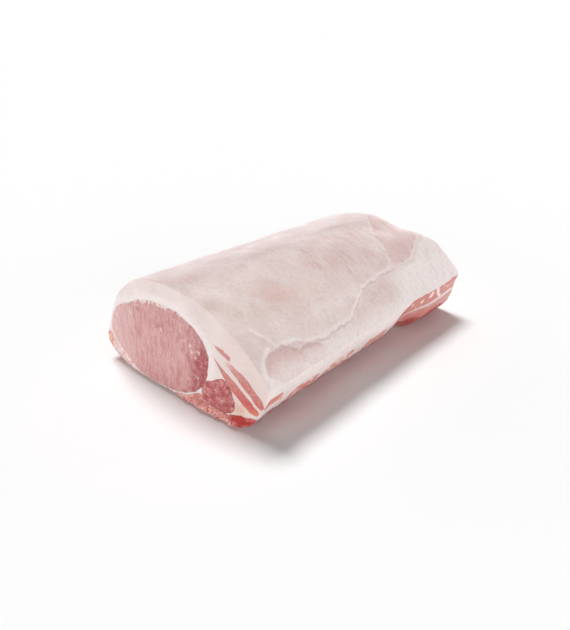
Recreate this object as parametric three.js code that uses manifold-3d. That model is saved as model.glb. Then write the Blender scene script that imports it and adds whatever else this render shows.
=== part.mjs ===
// A boneless pork loin, trimmed, cut across at both ends and lying on its rib side.
// Millimetres, +Z up. The loin runs along Y: near cut at -Y, far cut at +Y,
// backbone side at -X, belly side at +X. Its origin is below its middle, on the surface.
//
// The back fat is one body. It wraps the muscles, fills the seams between them and
// shows the trimming marks of the knife. Every muscle runs from cut to cut.

import * as THREE from 'three';
import Module from 'manifold-3d';

const wasm = await Module();
wasm.setup();

// ---- driving dimensions ----

const LENGTH = 254;          // near cut to far cut, at the fullest part of each
const HALF_WIDTH = 86;       // middle to the widest point of either side
const HEIGHT = 83;           // surface to the crown of the back at the near cut
const CUT_BULGE = 4;         // each cut face swells this far beyond its rim
const SEAM_GAP = 0.3;        // clearance between neighbouring pieces

const FAR_DROP = 8;          // how much lower the backbone side is at the far cut
const ROLL_LENGTH = 34;      // length over which the back rounds down to the far cut
const ROLL_DEPTH = 7.5;      // how far it comes down there; the belly side stays full
const SHAVE_AT = 24;         // the back is shaved flatter here, beside the crown
const SHAVE_WIDTH = 17;
const SHAVE_DEPTH = 4.8;

const TUCK = 2.3;            // the foot of the flank is tucked in below the belly's edge
const NOTCH_AT = 50;         // and further here, along Y
const NOTCH_WIDTH = 13;
const NOTCH_DEPTH = 5.5;
const FLARE_FROM = 62;       // beyond this the foot of the flank spreads outwards
const FLARE_WIDTH = 5.2;

const UNDERSIDE_THICKNESS = 2.3;     // thin lean and membrane below the eye muscle
const UNDERSIDE_HEEL = 15;           // how far it climbs the backbone side
const UNDERSIDE_STRIP = 4.8;         // extra thickness below the side muscles
const UNDERSIDE_BELLY = 5;           // and again towards the belly
const RIB_PITCH = 41;                // spacing of the grooves that the ribs left
const RIB_FIRST = -114;              // place of the first groove along Y
const RIB_HALF_WIDTH = 12;
const RIB_DEPTH_THIN = 0.9;          // groove depth below the eye muscle
const RIB_DEPTH_THICK = 3.2;         // groove depth below the side muscles

const TRIM_STEP = 1.5;               // the knife took this much more fat off beside the belly
const FAR_PEEL = 0.9;                // and this much off the back near the far cut

// ---- how finely the surfaces are cut into facets ----

const ALONG_STEPS = 44;              // facets along the loin
const MUSCLE_STEPS = 9;
const STREAK_STEPS = 26;
const CUT_ACROSS = 8;                // facets of a cut face, sideways and upwards
const CUT_UP = 5;

// ---- small tools ----

function clamp01(value) {
  return Math.min(1, Math.max(0, value));
}

// 0 at `from`, 1 at `to`, with a smooth start and end
function ease(from, to, value) {
  const t = clamp01((value - from) / (to - from));
  return t * t * (3 - 2 * t);
}

function mix(a, b, share) {
  return a + (b - a) * share;
}

function hump(centre, halfWidth, value) {
  const distance = (value - centre) / halfWidth;
  return Math.exp(-distance * distance);
}

// straight lines through [place, value] pairs
function along(pairs, place) {
  if (place <= pairs[0][0]) return pairs[0][1];
  for (let i = 1; i < pairs.length; i++) {
    const [end, endValue] = pairs[i];
    const [start, startValue] = pairs[i - 1];
    if (place <= end) return mix(startValue, endValue, (place - start) / (end - start));
  }
  return pairs[pairs.length - 1][1];
}

// smooth closed loop through [x, z, facets to the next point] rows, as Vector2
function smoothLoop(rows) {
  const corners = rows.map(([x, z]) => new THREE.Vector3(x, z, 0));
  const curve = new THREE.CatmullRomCurve3(corners, true, 'catmullrom', 0.5);
  const loop = [];
  rows.forEach(([, , facets = 2], row) => {
    for (let i = 0; i < facets; i++) {
      const p = curve.getPoint((row + i / facets) / rows.length);
      loop.push(new THREE.Vector2(p.x, p.y));
    }
  });
  return loop;
}

// unit vectors that point out of a clockwise loop
function outward(loop) {
  return loop.map((point, i) => {
    const next = loop[(i + 1) % loop.length];
    const last = loop[(i + loop.length - 1) % loop.length];
    const run = next.clone().sub(last).normalize();
    return new THREE.Vector2(-run.y, run.x);
  });
}

function grow(loop, distance) {
  const out = outward(loop);
  return loop.map((point, i) => point.clone().addScaledVector(out[i], distance));
}

// ---- the form that every piece follows ----

// Where the loin narrows, drops and rolls over, the muscles inside do the same.
function settle(point, y) {
  const share = clamp01(y / LENGTH + 0.5);
  const height = clamp01(point.y / HEIGHT);
  const flank = ease(30, 60, point.x) * ease(34, 6, point.y);
  const tuck = TUCK * ease(-LENGTH / 2 + 4, -LENGTH / 2 + 18, y) * ease(FLARE_FROM, NOTCH_AT, y);
  const pull = FLARE_WIDTH * ease(FLARE_FROM, FLARE_FROM + 14, y)
    - NOTCH_DEPTH * hump(NOTCH_AT, NOTCH_WIDTH, y) - tuck;
  const drop = FAR_DROP * share * ease(60, -40, point.x) * height ** 1.3;
  const turn = clamp01((y - LENGTH / 2 + ROLL_LENGTH) / ROLL_LENGTH) * 0.97;
  const fullness = ease(64, 44, point.x) * ease(0.18, 0.7, height);
  const roll = ROLL_DEPTH * fullness * (1 - Math.sqrt(1 - turn * turn));
  const shave = SHAVE_DEPTH * hump(SHAVE_AT, SHAVE_WIDTH, point.x)
    * ease(58, 104, y) * ease(0.5, 0.8, height);
  return new THREE.Vector2(point.x + pull * flank, point.y - drop - roll - shave);
}

// Outline of the loin at the near cut, clockwise from the heel on the backbone side:
// [x, z, facets to the next point].
const LOIN_OUTLINE = [
  [-69, 3, 2],        // heel
  [-84.6, 15, 2],     // backbone side, low
  [-79.3, 31, 2],
  [-71.6, 49, 3],     // backbone side, high
  [-58, 65.5, 3],     // shoulder
  [-37, 78.5, 3],
  [-10, HEIGHT, 4],   // crown
  [16, 80, 4],
  [40, 73, 4],
  [60, 62.5, 4],
  [75, 51, 4],
  [HALF_WIDTH - 1, 41, 2],   // edge where the belly was cut off
  [HALF_WIDTH - 1, 34, 3],
  [78, 18.5, 3],      // undercut flank
  [67, 4, 2],         // foot
  [52, -1, 2],
  [12, -1, 2],
  [-28, -1, 2],
];
const CROWN_FACET = 15;       // facets from the heel to the crown

// ---- marks of the trimming knife on the fat ----
// Places on the fat are given as [place along Y, arc length from the crown to the belly].

const STEP_PATH = [
  [-114, 69], [-108, 74], [-102, 84], [-92, 88], [-70, 94], [-56, 96], [-30, 96], [-20, 91],
  [-8, 85], [3, 79], [30, 76], [66, 77], [88, 70], [104, 62], [114, 58],
];
const PEEL_PATH = [[48, 75], [54, 64], [63, 53], [67, 43], [88, 23], [104, 8]];
const SCOOPS = [
  { along: -108, arc: 97, halfLength: 11, halfWidth: 9, depth: 1.3 },
  { along: -86, arc: 103, halfLength: 9, halfWidth: 8, depth: 1.0 },
  { along: 20, arc: 92, halfLength: 22, halfWidth: 9, depth: 0.7 },
];

function trimming(arc, y) {
  const stepFade = ease(-118, -104, y) * (1 - 0.6 * ease(60, 110, y));
  const beyondStep = ease(-1.5, 2.5, arc - along(STEP_PATH, y));
  const beforeFlank = 1 - ease(108, 116, arc);
  let height = -TRIM_STEP * stepFade * beyondStep * beforeFlank;
  const peelEdge = along(PEEL_PATH, y);
  const peelFade = ease(50, 66, y) * ease(2, 14, arc) * (1 - ease(66, 80, arc));
  height -= FAR_PEEL * peelFade * ease(-1.5, 2.5, arc - peelEdge);
  for (const scoop of SCOOPS) {
    const a = (y - scoop.along) / scoop.halfLength;
    const b = (arc - scoop.arc) / scoop.halfWidth;
    height -= scoop.depth * Math.exp(-((a * a + b * b) ** 1.5));
  }
  return height + 0.6 * Math.sin(y / 13 + 1) * Math.sin(arc / 17 + 0.5) - 0.2;
}

// Grooves that the ribs left across the underside.
function ribGroove(x, y) {
  const sinceFirst = y - RIB_FIRST - 0.06 * x;
  const offset = sinceFirst - RIB_PITCH * Math.round(sinceFirst / RIB_PITCH);
  const thick = ease(6, 26, x) + ease(-52, -72, x) * 0.5;
  return mix(RIB_DEPTH_THIN, RIB_DEPTH_THICK, thick) * ease(RIB_HALF_WIDTH, 0, Math.abs(offset));
}

// One cross-section of the whole loin, as a ring of Vector2.
function loinSection(y) {
  const loop = smoothLoop(LOIN_OUTLINE).map((point) => settle(point, y));
  const out = outward(loop);
  let arc = 0;
  return loop.map((point, i) => {
    if (i > CROWN_FACET) arc += point.distanceTo(loop[i - 1]);
    const onFat = ease(20, 34, point.y) * ease(2, 12, arc);
    const lift = onFat * trimming(arc, y);
    const x = point.x + out[i].x * lift;
    const z = point.y + out[i].y * lift;
    return new THREE.Vector2(x, Math.max(z, ribGroove(x, y)));
  });
}

// How far a cut face stands proud of its rim: fullest low in the middle.
function cutSwell(x, z) {
  const sideways = clamp01(1 - (x / HALF_WIDTH) ** 2);
  const upwards = clamp01(1 - z / HEIGHT);
  return CUT_BULGE * Math.min(1, 1.25 * sideways * upwards);
}

// ---- turning rings into solids ----

function solidFrom(positions, triangles) {
  const mesh = new wasm.Mesh({
    numProp: 3,
    vertProperties: Float32Array.from(positions),
    triVerts: Uint32Array.from(triangles),
  });
  return new wasm.Manifold(mesh);
}

// Rings of equal count, each clockwise as seen from the first ring's side, with a fan
// of facets at each end.
function skin(rings) {
  const count = rings[0].length;
  const positions = [];
  const triangles = [];
  for (const ring of rings) {
    for (const p of ring) positions.push(p.x, p.y, p.z);
  }
  for (let r = 0; r + 1 < rings.length; r++) {
    for (let i = 0; i < count; i++) {
      const a = r * count + i;
      const b = r * count + ((i + 1) % count);
      triangles.push(a, b, a + count, b, b + count, a + count);
    }
  }
  const ends = [[0, false], [rings.length - 1, true]];
  for (const [r, isFar] of ends) {
    const middle = new THREE.Vector3();
    for (const p of rings[r]) middle.addScaledVector(p, 1 / count);
    const hub = positions.length / 3;
    positions.push(middle.x, middle.y, middle.z);
    for (let i = 0; i < count; i++) {
      const a = r * count + i;
      const b = r * count + ((i + 1) % count);
      triangles.push(...(isFar ? [hub, a, b] : [hub, b, a]));
    }
  }
  return solidFrom(positions, triangles);
}

const OVERRUN = 5;            // pieces are made this much too long, then cut to length

// A piece that runs right through: its loop at every place along Y.
function through(loopAt, steps) {
  const reach = LENGTH / 2 + OVERRUN;
  const rings = [];
  for (let i = 0; i <= steps; i++) {
    const y = mix(-reach, reach, i / steps);
    rings.push(loopAt(y).map((p) => new THREE.Vector3(p.x, y, p.y)));
  }
  return skin(rings);
}

// The space between the two cuts, as rings stacked upwards.
function betweenCuts() {
  const rim = LENGTH / 2 - CUT_BULGE;
  const halfSpan = HALF_WIDTH + OVERRUN;
  const rings = [];
  for (let j = 0; j <= CUT_UP; j++) {
    const z = mix(-OVERRUN, HEIGHT + OVERRUN, j / CUT_UP);
    const near = [];
    const far = [];
    for (let i = 0; i <= CUT_ACROSS; i++) {
      const x = mix(-halfSpan, halfSpan, i / CUT_ACROSS);
      const y = rim + cutSwell(x, z);
      near.push(new THREE.Vector3(x, -y, z));
      far.unshift(new THREE.Vector3(x, y, z));
    }
    rings.push([...near, ...far]);
  }
  return skin(rings);
}

// ---- the muscles ----

// The eye: the large pale muscle that makes most of the cut face.
const EYE_OUTLINE = [
  [-66, 49], [-45, 59.5], [-24, 65.5], [2, 65.5], [21, 59], [32.5, 45.2], [31.5, 28.5],
  [21.5, 14], [2, 5.4], [-20, 3.2], [-44, 3.4], [-61, 9], [-73, 18], [-76.5, 27], [-73.8, 38],
];
const EYE_MIDDLE = [-22, 34];
const EYE_FAR_SCALE = 0.95;

// The smaller dark muscle beside it.
const SIDE_OUTLINE = [
  [32.5, 26.5], [43, 31.7], [49.3, 29.2], [53.8, 22.8], [55.2, 15.8], [49, 9.2], [37, 8.6],
  [28, 10.5], [26.6, 18.5],
];
const SIDE_MIDDLE = [41, 19];
const SIDE_FAR_SCALE = 1.08;

function muscleLoop(outline, middle, farScale) {
  return (y) => {
    const scale = mix(1, farScale, ease(-LENGTH / 2, LENGTH / 2, y));
    const sway = 1.2 * Math.sin(y / 31);
    const points = outline.map(([x, z]) => [
      middle[0] + (x - middle[0]) * scale + sway * 0.6,
      middle[1] + (z - middle[1]) * scale + sway * 0.25,
    ]);
    return smoothLoop(points);
  };
}

// A streak is a flat band of lean inside the fat. It runs from an inner end to an outer
// end near the belly flank, bows a little, and comes out through the flank in places.
const OUTER_STREAK = {
  inner: [48, 44.8],
  outer: [76, 26.5],
  exit: [93, 17.5],
  bow: 2.2,
  bluntness: 0.7,
  nearHalf: 3.3,
  farHalf: 5.6,
  farLift: 6.5,
  facets: 6,
  exits: [[-140, -108], [30, 140]],
};
const INNER_STREAK = {
  inner: [38, 45.6],
  outer: [75.6, 18],
  exit: [90, 6.5],
  bow: -1.6,
  bluntness: 0.12,
  nearHalf: 3.6,
  farHalf: 4.2,
  farLift: 2,
  facets: 6,
  exits: [[-95, -76], [-52, -27], [-3, 20], [34, 140]],
};
const STREAK_WISP = {
  inner: [42, 51.2],
  outer: [52, 50],
  exit: [52, 50],
  bow: 0.5,
  bluntness: 0.35,
  nearHalf: 1.5,
  farHalf: 1.2,
  farLift: 0,
  facets: 4,
  exits: [],
};
const EXIT_RUN = 8;          // length over which a streak reaches the flank

function exitShare(exits, y) {
  let share = 0;
  for (const [start, end] of exits) {
    const inside = ease(start - EXIT_RUN / 2, start + EXIT_RUN / 2, y)
      * ease(end + EXIT_RUN / 2, end - EXIT_RUN / 2, y);
    share = Math.max(share, inside);
  }
  return share;
}

function streakLoop(streak) {
  return (y) => {
    const far = ease(16, 52, y);
    const out = exitShare(streak.exits, y);
    const inner = new THREE.Vector2(...streak.inner);
    const outer = new THREE.Vector2(...streak.outer).lerp(new THREE.Vector2(...streak.exit), out);
    outer.y += streak.farLift * far;
    const run = outer.clone().sub(inner);
    const across = new THREE.Vector2(-run.y, run.x).normalize();
    const upper = [];
    const lower = [];
    for (let i = 0; i <= streak.facets; i++) {
      const q = i / streak.facets;
      const half = mix(streak.nearHalf, streak.farHalf, far * ease(0.3, 0.8, q));
      const body = mix(streak.bluntness, 1, ease(0, 0.55, q));
      const tip = Math.sqrt(clamp01(1 - ((q - 0.8) / 0.22) ** 2 * (q > 0.8 ? 0.92 : 0)));
      const middle = inner.clone().addScaledVector(run, q);
      middle.addScaledVector(across, streak.bow * 4 * q * (1 - q));
      upper.push(middle.clone().addScaledVector(across, half * body * tip));
      lower.unshift(middle.clone().addScaledVector(across, -half * body * tip));
    }
    return [...upper, ...lower];
  };
}

// ---- the ragged lean of the underside ----

function undersideTop(x, y) {
  const heel = UNDERSIDE_HEEL * clamp01((-58 - x) / 30) ** 1.4;
  const strip = UNDERSIDE_STRIP * ease(2, 26, x);
  const belly = UNDERSIDE_BELLY * ease(50, 76, x);
  const uneven = 0.8 * ease(10, 40, x) * Math.sin(y / 9 + x / 15);
  return UNDERSIDE_THICKNESS + heel + strip + belly + uneven;
}

// Everything below the top of the underside lean, as a slab wider than the loin.
function undersideLoop(rise) {
  const facets = 17;
  const halfSpan = HALF_WIDTH + OVERRUN;
  return (y) => {
    const loop = [];
    for (let i = 0; i <= facets; i++) {
      const x = mix(-halfSpan, halfSpan, i / facets);
      loop.push(new THREE.Vector2(x, undersideTop(x, y) + rise));
    }
    loop.push(new THREE.Vector2(halfSpan, -OVERRUN), new THREE.Vector2(-halfSpan, -OVERRUN));
    return loop;
  };
}

// ---- putting the loin together ----

// name: [loop at a place along Y, facets along, whether it comes out through the flank]
const MUSCLES = {
  eye_muscle: [muscleLoop(EYE_OUTLINE, EYE_MIDDLE, EYE_FAR_SCALE), MUSCLE_STEPS, false],
  side_muscle: [muscleLoop(SIDE_OUTLINE, SIDE_MIDDLE, SIDE_FAR_SCALE), MUSCLE_STEPS, false],
  outer_streak: [streakLoop(OUTER_STREAK), STREAK_STEPS, true],
  inner_streak: [streakLoop(INNER_STREAK), STREAK_STEPS, true],
  streak_wisp: [streakLoop(STREAK_WISP), MUSCLE_STEPS, false],
};

function buildSolids() {
  const cuts = betweenCuts();
  const loin = through(loinSection, ALONG_STEPS).intersect(cuts);
  const solids = {};
  let fat = loin.subtract(through(undersideLoop(SEAM_GAP), MUSCLE_STEPS));
  let underside = loin.intersect(through(undersideLoop(0), MUSCLE_STEPS));
  for (const [name, [loopAt, steps, meetsFlank]] of Object.entries(MUSCLES)) {
    const settled = (spread) => (y) => grow(loopAt(y), spread).map((p) => settle(p, y));
    const muscle = through(settled(0), steps);
    const hollow = through(settled(SEAM_GAP), steps);
    solids[name] = muscle.intersect(meetsFlank ? loin : cuts);
    fat = fat.subtract(hollow);
    underside = underside.subtract(hollow);
  }
  solids.back_fat = fat;
  solids.underside_lean = underside;
  return solids;
}

function geometryOf(solid) {
  const mesh = solid.getMesh();
  const geometry = new THREE.BufferGeometry();
  geometry.setAttribute('position', new THREE.BufferAttribute(mesh.vertProperties, 3));
  geometry.setIndex(new THREE.BufferAttribute(mesh.triVerts, 1));
  geometry.computeVertexNormals();
  return geometry;
}

const FINISHES = {
  back_fat: { color: '#e6d6d2', roughness: 0.5 },
  eye_muscle: { color: '#d6a7a5', roughness: 0.42 },
  side_muscle: { color: '#ba686b', roughness: 0.4 },
  outer_streak: { color: '#cd827d', roughness: 0.42 },
  inner_streak: { color: '#c5766e', roughness: 0.42 },
  streak_wisp: { color: '#d59a96', roughness: 0.45 },
  underside_lean: { color: '#c97f7c', roughness: 0.45 },
};

const group = new THREE.Group();
const solids = buildSolids();
for (const [name, finish] of Object.entries(FINISHES)) {
  const material = new THREE.MeshStandardMaterial({ ...finish, metalness: 0 });
  const mesh = new THREE.Mesh(geometryOf(solids[name]), material);
  mesh.name = name;
  group.add(mesh);
}

export default group;
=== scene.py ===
import math

import bpy
import numpy as np
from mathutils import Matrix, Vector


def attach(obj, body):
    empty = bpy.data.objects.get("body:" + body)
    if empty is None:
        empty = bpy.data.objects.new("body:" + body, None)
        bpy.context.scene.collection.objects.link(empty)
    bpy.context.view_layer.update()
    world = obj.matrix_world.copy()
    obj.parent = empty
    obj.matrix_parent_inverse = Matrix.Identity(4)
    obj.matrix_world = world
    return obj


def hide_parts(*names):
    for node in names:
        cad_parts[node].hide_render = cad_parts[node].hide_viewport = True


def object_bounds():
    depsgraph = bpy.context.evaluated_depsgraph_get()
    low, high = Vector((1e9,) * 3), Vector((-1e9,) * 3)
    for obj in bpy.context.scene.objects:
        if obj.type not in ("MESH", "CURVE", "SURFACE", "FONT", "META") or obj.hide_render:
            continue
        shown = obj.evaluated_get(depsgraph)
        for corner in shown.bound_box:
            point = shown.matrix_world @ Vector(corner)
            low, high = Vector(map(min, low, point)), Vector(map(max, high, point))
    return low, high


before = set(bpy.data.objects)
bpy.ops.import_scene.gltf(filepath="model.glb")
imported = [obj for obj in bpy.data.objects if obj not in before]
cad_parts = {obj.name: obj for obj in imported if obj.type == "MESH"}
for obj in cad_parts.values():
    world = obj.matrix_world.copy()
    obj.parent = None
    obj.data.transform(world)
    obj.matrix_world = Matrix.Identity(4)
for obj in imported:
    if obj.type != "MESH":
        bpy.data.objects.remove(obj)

cad_low, cad_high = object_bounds()

# ---------------------------------------------------------------------------------------
# Camera. It looks down on the near cut and the belly side, as in the photograph, whose
# frame is 570 by 630 pixels. The lens is a short telephoto's, given in those pixels.
# ---------------------------------------------------------------------------------------

PHOTO_WIDTH, PHOTO_HEIGHT = 570, 630
FOCAL_PIXELS = 600.0
CAMERA_PLACE = (0.2888, -0.3438, 0.2403)
CAMERA_AZIMUTH, CAMERA_ELEVATION = 40.9, 26.5

camera = bpy.data.cameras.new("camera")
camera.sensor_width = 36.0
camera.lens = FOCAL_PIXELS / max(PHOTO_WIDTH, PHOTO_HEIGHT) * camera.sensor_width
camera.clip_start, camera.clip_end = 0.01, 50
camera_object = bpy.data.objects.new("camera", camera)
camera_object.location = CAMERA_PLACE
camera_object.rotation_euler = (
    math.radians(90 - CAMERA_ELEVATION), 0, math.radians(CAMERA_AZIMUTH))
bpy.context.scene.collection.objects.link(camera_object)
bpy.context.scene.camera = camera_object

# ---------------------------------------------------------------------------------------
# The eye of the loin: the large pale muscle that fills most of each cut. Its long fibres
# run down the loin, so the knife leaves their ends as fine upright ridges. It ends in the
# fat with a toothed edge. Everything from here on is worked out in millimetres.
# ---------------------------------------------------------------------------------------

MM = 0.001
LENGTH = (cad_high.y - cad_low.y) / MM
HALF_WIDTH, HEIGHT = 86.0, 83.0          # of the whole loin at the near cut
CUT_BULGE = 4.0                          # each cut face swells this far beyond its rim
RIM = LENGTH / 2 - CUT_BULGE
BED_GAP, BED_PAST_CUT = 0.03, 3.0        # a bed in the fat is this much wider and longer

FAR_DROP = 8.0                           # the backbone side is this much lower at the far cut
ROLL_LENGTH, ROLL_DEPTH = 34.0, 7.5      # the back rounds down to that cut, but not the belly
SHAVE_AT, SHAVE_WIDTH, SHAVE_DEPTH = 24.0, 17.0, 4.8     # shaved flatter beside the crown
TUCK = 2.3                               # the foot is tucked in below the belly's edge
NOTCH_AT, NOTCH_WIDTH, NOTCH_DEPTH = 50.0, 13.0, 5.5     # tucked in further here
FLARE_FROM, FLARE_WIDTH = 62.0, 5.2                      # and spreads beyond this

EYE = dict(
    outline=[
        (-64.6, 50), (-47, 58.5), (-33, 64.5), (-17, 67), (4, 66.4), (20, 60.6), (29.2, 53),
        (33.6, 44), (33, 33), (30.6, 24.6), (24, 15.5), (12, 8.4), (0, 5), (-20, 3.4), (-42, 4.4),
        (-58, 11), (-69, 17.5), (-76, 24.5), (-76.2, 31.5), (-72.5, 40),
    ],
    middle=(-22, 34), far_scale=0.95, ragged=0.9, around=340)
EYE_RINGS, EYE_PROUD, EYE_RELIEF = 78, 0.35, 0.13
EYE_BITS = [                             # bits of fat on its near cut, as x, z and size
    (-12.5, 48.8, 1.3), (-48, 50.5, 1.7), (-50.5, 47, 1.0), (-67, 43, 1.3), (-67.4, 31, 1.1),
    (17.5, 46.7, 1.2), (11, 48.6, 0.8), (19, 42.5, 1.2), (25.6, 44.2, 1.1), (22, 40, 0.9),
    (24, 25, 0.9), (-39, 58, 1.2),
]
FIBRE_WIDTH, FIBRE_LENGTH = 2.3, 15.0
THREAD_WIDTH, THREAD_LENGTH = 0.9, 9.0   # the finer fibres between them
SPECK_SPACING = 3.0
FAR_FROM_EDGE = 30.0                     # stands for a place that is not on a cut
EYE_PALE, EYE_MID, EYE_DARK, EYE_RED = "#dbb2af", "#cd9a98", "#c08482", "#a3494e"


def ease(start, end, value):
    """0 at start and 1 at end, along 3t^2 - 2t^3 in between."""
    t = np.clip((value - start) / (end - start), 0, 1)
    return t * t * (3 - 2 * t)


def hump(centre, half_width, value):
    """A bell: e to the minus square of the distance in half widths."""
    return np.exp(-((value - centre) / half_width) ** 2)


def lumps(x, y, z, size, seed=0):
    """Smooth random heights from -1 to 1: a random value at each corner of a grid of
    cells of this size, eased between the eight corners round each point."""
    x, y, z = (np.asarray(v, float) / s for v, s in zip((x, y, z), np.broadcast_to(size, 3)))
    x, y, z = np.broadcast_arrays(x, y, z)
    cell = [np.floor(v).astype(np.int64) for v in (x, y, z)]
    part = [ease(0, 1, v - c) for v, c in zip((x, y, z), cell)]
    total = 0
    for corner in range(8):
        step = [corner & 1, corner >> 1 & 1, corner >> 2 & 1]
        mixed = (cell[0] + step[0]) * 73856093 ^ (cell[1] + step[1]) * 19349663
        mixed = (mixed ^ (cell[2] + step[2]) * 83492791 ^ seed * 40503 + 977) & 0x7FFFFFFF
        mixed = (mixed ^ mixed >> 13) * 1274126177 & 0x7FFFFFFF
        value = ((mixed ^ mixed >> 16) & 0xFFFF) / 32767.5 - 1
        weight = 1
        for p, s in zip(part, step):
            weight = weight * (p if s else 1 - p)
        total = total + value * weight
    return total


def smooth_loop(points, turns):
    """A closed Catmull-Rom spline through the points, read at the given shares of a turn."""
    points = np.array(points, float)
    place = turns * len(points)
    first = np.floor(place).astype(int)
    t = (place - first)[:, None]
    p0, p1, p2, p3 = (points[(first + step) % len(points)] for step in (-1, 0, 1, 2))
    return 0.5 * (2 * p1 + (p2 - p0) * t + (2 * p0 - 5 * p1 + 4 * p2 - p3) * t ** 2
                  + (3 * p1 - p0 - 3 * p2 + p3) * t ** 3)


def outward(x, z):
    """Unit normals of clockwise loops that run along the last axis."""
    run_x = np.roll(x, -1, -1) - np.roll(x, 1, -1)
    run_z = np.roll(z, -1, -1) - np.roll(z, 1, -1)
    size = np.hypot(run_x, run_z) + 1e-9
    return -run_z / size, run_x / size


def settle(x, y, z):
    """Moves a section's point to where it lies at y: the backbone side drops steadily,
    the back rolls over at the far cut as a circle's arc and is shaved flatter beside the
    crown, and the foot is tucked in or spreads."""
    share = np.clip(y / LENGTH + 0.5, 0, 1)
    height = np.clip(z / HEIGHT, 0, 1)
    flank = ease(30, 60, x) * ease(34, 6, z)
    pull = (FLARE_WIDTH * ease(FLARE_FROM, FLARE_FROM + 14, y)
            - NOTCH_DEPTH * hump(NOTCH_AT, NOTCH_WIDTH, y)
            - TUCK * ease(-LENGTH / 2 + 4, -LENGTH / 2 + 18, y) * ease(FLARE_FROM, NOTCH_AT, y))
    drop = FAR_DROP * share * ease(60, -40, x) * height ** 1.3
    turn = np.clip((y - LENGTH / 2 + ROLL_LENGTH) / ROLL_LENGTH, 0, 1) * 0.97
    roll = ROLL_DEPTH * ease(64, 44, x) * (1 - np.sqrt(1 - turn ** 2)) * ease(0.18, 0.7, height)
    shave = SHAVE_DEPTH * hump(SHAVE_AT, SHAVE_WIDTH, x) * ease(58, 104, y) * ease(0.5, 0.8, height)
    return x + pull * flank, z - drop - roll - shave


def cut_swell(x, z):
    """How far a cut face stands proud of its rim: fullest low in the middle."""
    sideways = np.clip(1 - (x / HALF_WIDTH) ** 2, 0, 1)
    upwards = np.clip(1 - z / HEIGHT, 0, 1)
    return CUT_BULGE * np.minimum(1, 1.25 * sideways * upwards)


def muscle_sections(muscle, around, y, spread=0.0, raggedness=1.0):
    """A muscle's outline at every y: the spline scaled about its middle, swaying a
    little, its edge roughened by the raggedness, grown by the spread and settled."""
    loop = smooth_loop(muscle["outline"], np.arange(around) / around)
    middle_x, middle_z = muscle["middle"]
    y = np.atleast_1d(y)[:, None]
    scale = 1 + (muscle["far_scale"] - 1) * ease(-LENGTH / 2, LENGTH / 2, y)
    sway = 1.2 * np.sin(y / 31)
    x = middle_x + (loop[:, 0] - middle_x) * scale + sway * 0.6
    z = middle_z + (loop[:, 1] - middle_z) * scale + sway * 0.25
    out_x, out_z = outward(x, z)
    rough = 0.55 * lumps(x, y, z, (2.2, 9, 2.2), 31) + 0.6 * lumps(x, y, z, (5, 12, 5), 32)
    reach = muscle["ragged"] * raggedness * rough - 0.15 + spread
    return settle(x + out_x * reach, y, z + out_z * reach)


def closed_piece(name, rings):
    """A closed mesh from rings of points (rings, around, 3), clockwise as seen from the
    first ring, with a point in the middle of each end."""
    count = rings.shape[1]
    hubs = np.array([rings[0].mean(0), rings[-1].mean(0)])
    points = np.concatenate([rings.reshape(-1, 3), hubs]) * MM
    index = np.arange(len(rings) * count).reshape(len(rings), count)
    after = np.roll(index, -1, 1)
    quads = np.stack([index[:-1], after[:-1], after[1:], index[1:]], -1).reshape(-1, 4)
    near_hub, far_hub = len(points) - 2, len(points) - 1
    near = np.stack([after[0], index[0], np.full(count, near_hub)], -1)
    far = np.stack([index[-1], after[-1], np.full(count, far_hub)], -1)
    corners = np.concatenate([quads.ravel(), near.ravel(), far.ravel()])
    sides = np.concatenate([np.full(len(quads), 4), np.full(len(near) + len(far), 3)])
    mesh = bpy.data.meshes.new(name)
    mesh.vertices.add(len(points))
    mesh.vertices.foreach_set("co", points.astype(np.float32).ravel())
    mesh.loops.add(len(corners))
    mesh.loops.foreach_set("vertex_index", corners.astype(np.int32))
    mesh.polygons.add(len(sides))
    starts = np.concatenate([[0], np.cumsum(sides)[:-1]])
    mesh.polygons.foreach_set("loop_start", starts.astype(np.int32))
    mesh.update(calc_edges=True)
    piece = bpy.data.objects.new(name, mesh)
    bpy.context.scene.collection.objects.link(piece)
    return piece


def stacked(x, y, z):
    """Rings of points from x and z at every y."""
    return np.stack([x, np.broadcast_to(np.atleast_1d(y)[:, None], x.shape), z], -1)


def muscle_bed(name, muscle):
    """The bed that a muscle leaves in the fat: its walls a hair wider, past both cuts."""
    end = LENGTH / 2 + BED_PAST_CUT
    y = np.sort(np.concatenate([np.linspace(-end, end, 27), [-RIM, RIM]]))
    x, z = muscle_sections(muscle, muscle["around"], y, BED_GAP)
    return closed_piece(name, stacked(x, y, z))


def fibre_relief(x, z):
    """Upright ridges that wander: noise much longer than wide, on a bent x."""
    bent = x + 2.4 * lumps(x, 0, z, (14, 1, 11), 41) + 1.3 * lumps(x, 0, z, (6, 1, 5), 42)
    ridge = lumps(bent, 0, z, (FIBRE_WIDTH * 0.62, 1, FIBRE_LENGTH), 43)
    fine = lumps(bent, 0, z, (FIBRE_WIDTH * 0.4, 1, THREAD_LENGTH), 44)
    return EYE_RELIEF * (0.6 * ridge + 0.4 * fine)


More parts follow.
